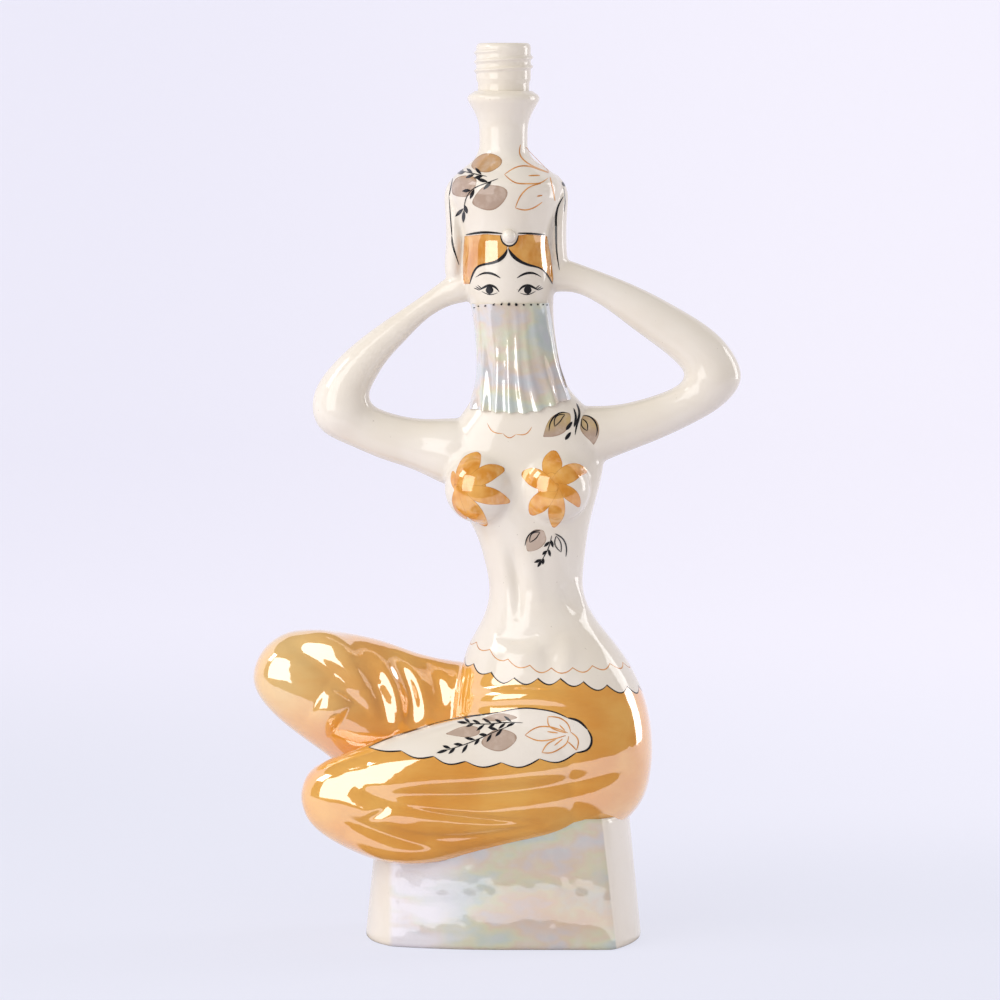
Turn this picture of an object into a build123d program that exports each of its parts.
from build123d import *
import math
import os

# A figural liquor decanter: a veiled dancer who sits cross-legged on a plinth and holds
# her turban, with the bottle's neck rising from it. Each piece is one of the castings
# that are stuck together with slip, so neighbours meet face to face at the seams.
# Millimetres, +Z up. The origin is under the bottle's neck, at the plinth's bottom.
# +X is to the right of someone who faces the figure, and -Y is towards them.

# Overall sizes
figure_height = 358.5
wall = 4.0
overrun = 5.0
round_squareness = 2
quarter_turn = 90
whole_turn = 360

# Trunk, from the seat to the turban
hip_width = 80.4
hip_depth = 69.0
hip_lean = 19.5
breast_radius = 13.5
breast_sink = 6.0
pearl_radius = 3.3

# Bottle neck and screw finish
mouth_bore = 13.0
neck_diameter = 19.2
finish_core = 21.6
finish_relief = 20.4
finish_length = 15.0
relief_length = 4.7
bead_diameter = 29.0
bead_thickness = 5.0
lip_round = 1.2

# Plinth
plinth_length = 93.2
plinth_depth = 64.0
plinth_height = 60.0
plinth_bow = 9.1
plinth_taper = 6.0
plinth_batter = 3.0
plinth_round = 2.0
plinth_slope = 10.0
floor_thickness = 6.0
plinth_room_height = 32.0
drain_radius = 12.0

# Legs
near_reach = 80.9
near_height = 96.0
far_reach = 101.3
far_height = 122.9
leg_depth = 38.0

# Arms
right_reach = 76.3
left_reach = 94.7
arm_height_share = 0.7587
arm_height = figure_height * arm_height_share
hand_breadth = 17.0
hand_thickness = 7.5

# Veil and its pleats
veil_thickness = 1.2
veil_left = 14.5
veil_right = 24.0
pleat_depth = 1.1
pleats_around = 16

# Trunk stations, seat first: height, lean, half width and half depth as shares of
# figure_height, hip_lean, and half the hips' width and depth, then the squareness.
trunk_shares = [
    (0.123, 1.00, 0.62, 0.64, 2.4),
    (0.137, 1.00, 0.77, 0.82, 2.4),
    (0.159, 1.00, 0.915, 0.95, 2.4),
    (0.190, 1.00, 0.99, 1.00, 2.4),
    (0.223, 1.00, 1.00, 1.00, 2.35),
    (0.262, 0.98, 0.958, 0.94, 2.3),
    (0.301, 0.90, 0.858, 0.83, 2.2),
    (0.329, 0.805, 0.741, 0.70, 2.1),
    (0.357, 0.738, 0.577, 0.57, 2.0),
    (0.3905, 0.677, 0.470, 0.465, 2.0),
    (0.424, 0.636, 0.495, 0.460, 2.0),
    (0.460, 0.569, 0.570, 0.500, 2.1),
    (0.4965, 0.456, 0.704, 0.535, 2.2),
    (0.530, 0.426, 0.784, 0.530, 2.3),
    (0.5635, 0.436, 0.771, 0.490, 2.3),
    (0.5885, 0.480, 0.650, 0.450, 2.2),
    (0.6165, 0.390, 0.470, 0.435, 2.0),
    (0.6585, 0.282, 0.403, 0.445, 2.0),
    (0.7085, 0.175, 0.410, 0.480, 2.0),
    (0.742, 0.100, 0.453, 0.535, 2.0),
    (0.7855, 0.062, 0.445, 0.545, 2.0),
    (0.809, 0.056, 0.497, 0.585, 2.0),
    (0.8285, 0.051, 0.547, 0.630, 2.0),
    (0.844, 0.046, 0.555, 0.632, 2.0),
    (0.855, 0.041, 0.488, 0.556, 2.0),
    (0.8655, 0.020, 0.368, 0.423, 2.0),
    (0.8755, 0.005, 0.274, 0.319, 2.0),
]
height_column, lean_column, depth_column = 0, 1, 3
seat_row, bust_row, band_row, hand_row = 1, 12, 20, 21
veil_rows = slice(15, 19)
neck_seam_share = 0.887

# Seams across the trunk, as shares of figure_height
waist_seam_share = 0.307
throat_seam_share = 0.647
band_seam_share = 0.7885

# Breasts: across as a share of hip_lean, up as a share of figure_height
breast_shares = [(-0.477, 0.5125), (1.041, 0.5115)]
pearl_shares = (0.108, 0.7865)

# Leg stations, knee first: reach, underside, top, front and back. The reach is a share
# of the leg's reach, the next two of its height and the last two of leg_depth.
near_tip_shares = (1.0, 0.620, -0.45)
near_shares = [
    (0.984, 0.563, 0.682, -0.62, -0.29),
    (0.940, 0.500, 0.735, -0.78, -0.15),
    (0.853, 0.446, 0.775, -0.90, -0.06),
    (0.717, 0.398, 0.819, -0.97, -0.01),
    (0.556, 0.369, 0.871, -1.00, 0.00),
    (0.371, 0.385, 0.921, -1.00, 0.00),
    (0.148, 0.417, 0.969, -1.00, 0.00),
    (-0.074, 0.464, 1.000, -1.00, 0.00),
    (-0.297, 0.505, 0.990, -0.93, -0.05),
    (-0.494, 0.573, 0.917, -0.72, -0.12),
]
far_tip_shares = (1.0, 0.844, 0.31)
far_shares = [
    (0.987, 0.804, 0.891, 0.13, 0.50),
    (0.948, 0.753, 0.944, -0.03, 0.66),
    (0.869, 0.688, 0.987, -0.11, 0.75),
    (0.760, 0.620, 1.000, -0.15, 0.79),
    (0.612, 0.521, 0.986, -0.16, 0.81),
    (0.454, 0.390, 0.954, -0.16, 0.81),
    (0.296, 0.326, 0.911, -0.16, 0.81),
    (0.118, 0.326, 0.887, -0.16, 0.79),
    (-0.079, 0.358, 0.846, -0.10, 0.71),
]
leg_squareness = 2.3
near_throat_shares = (-0.06, 0.75, -0.40, 0.15, 0.24)
far_throat_shares = (0.0, 0.65, 0.37, 0.11, 0.20)
hollow_rows = 6

# Arm stations, shoulder first: the inner and then the outer point of the outline, each
# across as a share of the elbow's reach and up as a share of arm_height.
right_arm_shares = [
    (-0.24, 0.770, -0.26, 0.668),
    (-0.42, 0.769, -0.47, 0.694),
    (-0.557, 0.775, -0.655, 0.712),
    (-0.651, 0.784, -0.813, 0.731),
    (-0.695, 0.795, -0.973, 0.760),
    (-0.701, 0.805, -0.998, 0.796),
    (-0.676, 0.824, -0.893, 0.849),
    (-0.607, 0.855, -0.750, 0.886),
    (-0.497, 0.889, -0.603, 0.916),
    (-0.389, 0.918, -0.475, 0.940),
    (-0.290, 0.934, -0.366, 0.962),
    (-0.210, 0.940, -0.240, 0.985),
]
left_arm_shares = [
    (0.300, 0.789, 0.320, 0.690),
    (0.453, 0.789, 0.496, 0.717),
    (0.575, 0.797, 0.655, 0.739),
    (0.687, 0.810, 0.818, 0.766),
    (0.748, 0.823, 0.945, 0.796),
    (0.760, 0.833, 1.000, 0.828),
    (0.750, 0.843, 0.966, 0.866),
    (0.699, 0.861, 0.866, 0.903),
    (0.625, 0.881, 0.739, 0.931),
    (0.539, 0.903, 0.634, 0.951),
    (0.452, 0.926, 0.517, 0.970),
    (0.376, 0.943, 0.407, 0.985),
    (0.285, 0.955, 0.290, 1.000),
    (0.190, 0.955, 0.190, 1.010),
]
elbow_rows = (4, 7)
arm_roundness_share = 0.94

# Hand stations, heel first: height as a share of arm_height, the palm's distance from
# the neck's axis as a share of half the hips' width, then thickness and breadth.
hand_shares = [
    (0.963, 0.500, 0.70, 0.50),
    (0.985, 0.515, 1.00, 0.78),
    (1.015, 0.510, 1.00, 0.95),
    (1.048, 0.505, 1.00, 1.00),
    (1.078, 0.515, 1.00, 0.97),
    (1.100, 0.525, 0.90, 0.85),
    (1.116, 0.500, 0.70, 0.65),
    (1.127, 0.465, 0.35, 0.38),
]
hand_set_back_share = 0.10

ring_points = 16
pleat_points = 4


def ring(plane, half_u, half_v, squareness):
    """A closed curve |u / half_u|^n + |v / half_v|^n = 1 in a plane, n its squareness."""
    points = []
    for step in range(ring_points):
        angle = math.tau * step / ring_points
        cosine = math.cos(angle)
        sine = math.sin(angle)
        u = half_u * math.copysign(abs(cosine) ** (2 / squareness), cosine)
        v = half_v * math.copysign(abs(sine) ** (2 / squareness), sine)
        points.append(plane.from_local_coords(Vector(u, v, 0)))
    return closed_curve(points)


def closed_curve(points):
    """A periodic spline whose points are evenly spaced in its parameter."""
    spacing = [step / len(points) for step in range(len(points) + 1)]
    return Wire([Edge.make_spline(points, periodic=True, parameters=spacing)])


def oval(plane, half_u, half_v):
    """A closed ellipse in a plane, as four quarters that line up from ring to ring."""
    quarters = range(0, whole_turn, quarter_turn)
    edges = [
        Edge.make_ellipse(half_u, half_v, plane, turn, turn + quarter_turn) for turn in quarters
    ]
    return Wire(edges)


def level(height):
    """A level plane at a height."""
    return Plane.XY.offset(height)


def trunk_station(shares):
    """The centre, half width, half depth and squareness of one level of the trunk."""
    height_share, lean_share, width_share, depth_share, squareness = shares
    centre = Vector(hip_lean * lean_share, 0, figure_height * height_share)
    return centre, hip_width / 2 * width_share, hip_depth / 2 * depth_share, squareness


def trunk_skin():
    """The trunk's outside, one loft from the seat to the start of the bottle's neck."""
    rings = []
    for shares in trunk_shares:
        centre, half_width, half_depth, squareness = trunk_station(shares)
        rings.append(ring(Plane(centre), half_width, half_depth, squareness))
    neck = level(figure_height * neck_seam_share)
    for lift in (0, overrun):
        rings.append(ring(neck.offset(lift), neck_diameter / 2, neck_diameter / 2, round_squareness))
    return Solid.make_loft(rings)


def trunk_room():
    """The hollow of the trunk, one wall inside its skin and no narrower than the bore."""
    bore = mouth_bore / 2
    rings = []
    for shares in trunk_shares[1:]:
        centre, half_width, half_depth, squareness = trunk_station(shares)
        half_width = max(half_width - wall, bore)
        half_depth = max(half_depth - wall, bore)
        rings.append(ring(Plane(centre), half_width, half_depth, squareness))
    neck = level(figure_height * neck_seam_share)
    for lift in (0, overrun):
        rings.append(ring(neck.offset(lift), bore, bore, round_squareness))
    return Solid.make_loft(rings)


def between(solid, low, high):
    """The part of a solid between two levels."""
    above = solid.split(level(low), keep=Keep.TOP)
    return above.split(level(high), keep=Keep.BOTTOM)


def leg_ring(x, bottom, top, front, back, inset):
    """One upright section of a leg, between its underside and top, front and back."""
    centre = Vector(x, (front + back) / 2, (bottom + top) / 2)
    plane = Plane(origin=centre, x_dir=(0, 1, 0), z_dir=(1, 0, 0))
    half_depth = (back - front) / 2 - inset
    half_height = (top - bottom) / 2 - inset
    return ring(plane, half_depth, half_height, leg_squareness)


def leg_skin(reach, height, tip_shares, row_shares):
    """A folded leg's outside: a loft from the point of the knee back into the hips."""
    tip_share, rise_share, depth_share = tip_shares
    sections = [Vertex(-reach * tip_share, leg_depth * depth_share, height * rise_share)]
    for x, bottom, top, front, back in row_shares:
        sections.append(
            leg_ring(
                -reach * x, height * bottom, height * top,
                leg_depth * front, leg_depth * back, 0,
            )
        )
    return Solid.make_loft(sections)


def leg_room(reach, height, tip_shares, row_shares, throat_shares, front_limit):
    """A leg's hollow: one wall inside the skin, drawn in to a throat inside the hips."""
    tip_share, rise_share, depth_share = tip_shares
    middle = max(leg_depth * depth_share, front_limit + wall)
    sections = [Vertex(wall - reach * tip_share, middle, height * rise_share)]
    squeeze = 1 - wall / reach
    for x, bottom, top, front, back in row_shares[1:hollow_rows]:
        front_inner = max(leg_depth * front, front_limit - wall)
        sections.append(
            leg_ring(
                -reach * x * squeeze, height * bottom, height * top,
                front_inner, leg_depth * back, wall,
            )
        )
    x, rise, depth, half_depth, half_height = throat_shares
    plane = Plane(
        origin=(-reach * x, leg_depth * depth, height * rise),
        x_dir=(0, 1, 0),
        z_dir=(1, 0, 0),
    )
    half_depth = leg_depth * half_depth
    sections.append(ring(plane, half_depth, height * half_height / 2, leg_squareness))
    return Solid.make_loft(sections)


def plinth_outline(height, inset_x, inset_y):
    """Flat front and back joined by bowed ends, with the four corners rounded."""
    half_length = plinth_length / 2 - inset_x
    half_depth = plinth_depth / 2 - inset_y
    front_left = (-half_length, -half_depth)
    front_right = (half_length, -half_depth)
    back_right = (half_length, half_depth)
    back_left = (-half_length, half_depth)
    edges = [
        Line(front_left, front_right),
        ThreePointArc(front_right, (half_length + plinth_bow, 0), back_right),
        Line(back_right, back_left),
        ThreePointArc(back_left, (-half_length - plinth_bow, 0), front_left),
    ]
    face = Face(Wire(edges))
    rounded = face.fillet_2d(plinth_round, face.vertices())
    return rounded.moved(Location((0, 0, height)))


def plinth_block():
    """The tapered block, its rim rounded at the bottom and its top cut on a slope."""
    block = loft(
        [plinth_outline(0, 0, 0), plinth_outline(plinth_height, plinth_taper, plinth_batter)],
        ruled=True,
    ).solid()
    rim = block.edges().group_by(Axis.Z)[0]
    block = block.fillet(plinth_round, rim)
    run = Vector(plinth_length, 0, plinth_slope * 2)
    slope = Plane(
        origin=(0, 0, plinth_height - plinth_slope),
        x_dir=run,
        z_dir=Vector(0, 1, 0).cross(run) * -1,
    )
    return block.split(slope, keep=Keep.BOTTOM)


def plinth_room():
    """The plinth's hollow and the round drain that joins it to the hips' hollow."""
    floor = floor_thickness
    hollow = loft(
        [
            plinth_outline(floor, wall, wall),
            plinth_outline(plinth_room_height, wall + plinth_taper / 2, wall + plinth_batter),
        ],
        ruled=True,
    ).solid()
    drain_height = figure_height * trunk_shares[seat_row][height_column] + overrun
    drain = Cylinder(
        drain_radius,
        drain_height - floor - overrun,
        align=(Align.CENTER, Align.CENTER, Align.MIN),
    ).moved(Location((hip_lean, 0, floor + overrun)))
    return hollow, drain.solid()


def bottle_neck():
    """The neck and its screw finish, turned about the axis."""
    seam = figure_height * neck_seam_share
    bore = mouth_bore / 2
    core = finish_core / 2
    relief = finish_relief / 2
    bead = bead_diameter / 2
    neck = neck_diameter / 2
    lip = figure_height
    finish_foot = lip - finish_length
    bead_top = finish_foot - relief_length
    bead_foot = bead_top - bead_thickness
    shaft_top = bead_foot - (bead - neck)
    crown = bead_thickness / 2
    profile = [
        Line((bore, seam), (neck, seam)),
        Line((neck, seam), (neck, shaft_top)),
        Spline(
            [(neck, shaft_top), (bead - crown, bead_foot)],
            tangents=[(0, 1), (1, 1)],
        ),
        ThreePointArc((bead - crown, bead_foot), (bead, bead_foot + crown), (bead - crown, bead_top)),
        Line((bead - crown, bead_top), (relief, bead_top)),
        Line((relief, bead_top), (relief, finish_foot)),
        Line((relief, finish_foot), (core, finish_foot)),
        Line((core, finish_foot), (core, lip - lip_round)),
        ThreePointArc(
            (core, lip - lip_round),
            (core - lip_round * (1 - math.sqrt(0.5)), lip - lip_round * (1 - math.sqrt(0.5))),
            (core - lip_round, lip),
        ),
        Line((core - lip_round, lip), (bore, lip)),
        Line((bore, lip), (bore, seam)),
    ]
    section = Face(Wire(profile)).rotate(Axis.X, quarter_turn)
    return revolve(section, Axis.Z).solid()


def arm_skin(reach, row_shares):
    """Upper arm, elbow and forearm: three lofts of ellipses set across the outline."""
    rings = []
    for inner_x, inner_z, outer_x, outer_z in row_shares:
        inner = Vector(reach * inner_x, 0, arm_height * inner_z)
        outer = Vector(reach * outer_x, 0, arm_height * outer_z)
        across = outer - inner
        plane = Plane(
            origin=(inner + outer) / 2, x_dir=across, z_dir=across.cross(Vector(0, 1, 0))
        )
        half = across.length / 2
        rings.append(oval(plane, half, half * arm_roundness_share))
    first, last = elbow_rows
    upper_arm = Solid.make_loft(rings[: first + 1])
    elbow = Solid.make_loft(rings[first : last + 1])
    forearm = Solid.make_loft(rings[last:])
    return (upper_arm + elbow + forearm).solid()


def hand_skin(side):
    """A flat hand laid along the turban; side is -1 for her right and 1 for her left."""
    rings = []
    middle = hip_lean * trunk_shares[hand_row][lean_column]
    for height_share, distance_share, thickness_share, breadth_share in hand_shares:
        centre = Vector(
            middle + side * hip_width / 2 * distance_share,
            hand_breadth * hand_set_back_share,
            arm_height * height_share,
        )
        half_thickness = hand_thickness / 2 * thickness_share
        half_breadth = hand_breadth / 2 * breadth_share
        rings.append(ring(Plane(centre), half_thickness, half_breadth, round_squareness))
    return Solid.make_loft(rings)


def veil_skin():
    """The veil's outside: the neck's levels made thicker and pleated towards the hem."""
    rings = []
    rows = trunk_shares[veil_rows]
    count = pleats_around * pleat_points
    for index, shares in enumerate(rows):
        centre, half_width, half_depth, _ = trunk_station(shares)
        fullness = 1 - index / len(rows)
        points = []
        for step in range(count):
            angle = math.tau * step / count
            pleat = pleat_depth * fullness * (1 + math.cos(pleats_around * angle))
            u = (half_width + veil_thickness + pleat) * math.cos(angle)
            v = (half_depth + veil_thickness + pleat) * math.sin(angle)
            points.append(centre + Vector(u, v, 0))
        rings.append(closed_curve(points))
    return Solid.make_loft(rings)


def veil_panel():
    """The front of the veil's skin, trimmed at both sides."""
    front = veil_skin().split(Plane.XZ.offset(veil_thickness), keep=Keep.TOP)
    trimmed = front.split(Plane.YZ.offset(-veil_left), keep=Keep.TOP)
    return trimmed.split(Plane.YZ.offset(veil_right), keep=Keep.BOTTOM)


def breasts():
    """Two balls sunk into the chest, to be stuck onto the torso."""
    solids = []
    for across_share, up_share in breast_shares:
        front = hip_depth / 2 * trunk_shares[bust_row][depth_column]
        place = (hip_lean * across_share, breast_sink - front, figure_height * up_share)
        solids.append(Sphere(breast_radius).moved(Location(place)).solid())
    return solids


def pearl():
    """The ball at the middle of the headband."""
    across_share, up_share = pearl_shares
    front = hip_depth / 2 * trunk_shares[band_row][depth_column]
    place = (hip_lean * across_share, -front, figure_height * up_share)
    return Sphere(pearl_radius).moved(Location(place)).solid()


def cut(solid, *tools):
    """A solid less each tool in turn, as one solid, the largest if the cut leaves crumbs."""
    for tool in tools:
        solid = solid - tool
    return max(solid.solids(), key=lambda piece: piece.volume)


def make_parts():
    """Every casting by name: each is cut by the castings that reach into it."""
    trunk = trunk_skin()
    room = trunk_room()
    near = leg_skin(near_reach, near_height, near_tip_shares, near_shares)
    far = leg_skin(far_reach, far_height, far_tip_shares, far_shares)
    near_room = leg_room(
        near_reach, near_height, near_tip_shares, near_shares, near_throat_shares, -leg_depth
    )
    far_room = leg_room(
        far_reach, far_height, far_tip_shares, far_shares, far_throat_shares, wall
    )
    plinth_hollow, drain = plinth_room()
    low = figure_height * trunk_shares[0][height_column]
    waist = figure_height * waist_seam_share
    throat = figure_height * throat_seam_share
    band = figure_height * band_seam_share
    neck = figure_height * neck_seam_share
    bust = breasts()
    torso = between(trunk, waist, throat)
    for breast in bust:
        torso = (torso + breast).solid()
    right_arm = (arm_skin(right_reach, right_arm_shares) + hand_skin(-1)).solid()
    left_arm = (arm_skin(left_reach, left_arm_shares) + hand_skin(1)).solid()
    right_arm = cut(right_arm, trunk, *bust)
    left_arm = cut(left_arm, trunk, *bust)
    return {
        "plinth": cut(plinth_block(), trunk, near, far, plinth_hollow, drain),
        "hips": cut(between(trunk, low, waist), room, near_room, far_room, drain),
        "near_leg": cut(near, trunk, near_room),
        "far_leg": cut(far, trunk, near, far_room),
        "torso": cut(torso, room),
        "head": cut(between(trunk, throat, band), room),
        "turban": cut(between(trunk, band, neck), room),
        "bottle_neck": bottle_neck(),
        "right_arm": right_arm,
        "left_arm": left_arm,
        "veil": cut(veil_panel(), trunk, right_arm, left_arm),
        "turban_pearl": cut(pearl(), trunk),
    }


os.makedirs("parts", exist_ok=True)
for name, solid in make_parts().items():
    export_step(solid, f"parts/{name}.step")
    print(name, round(solid.volume), solid.is_valid)
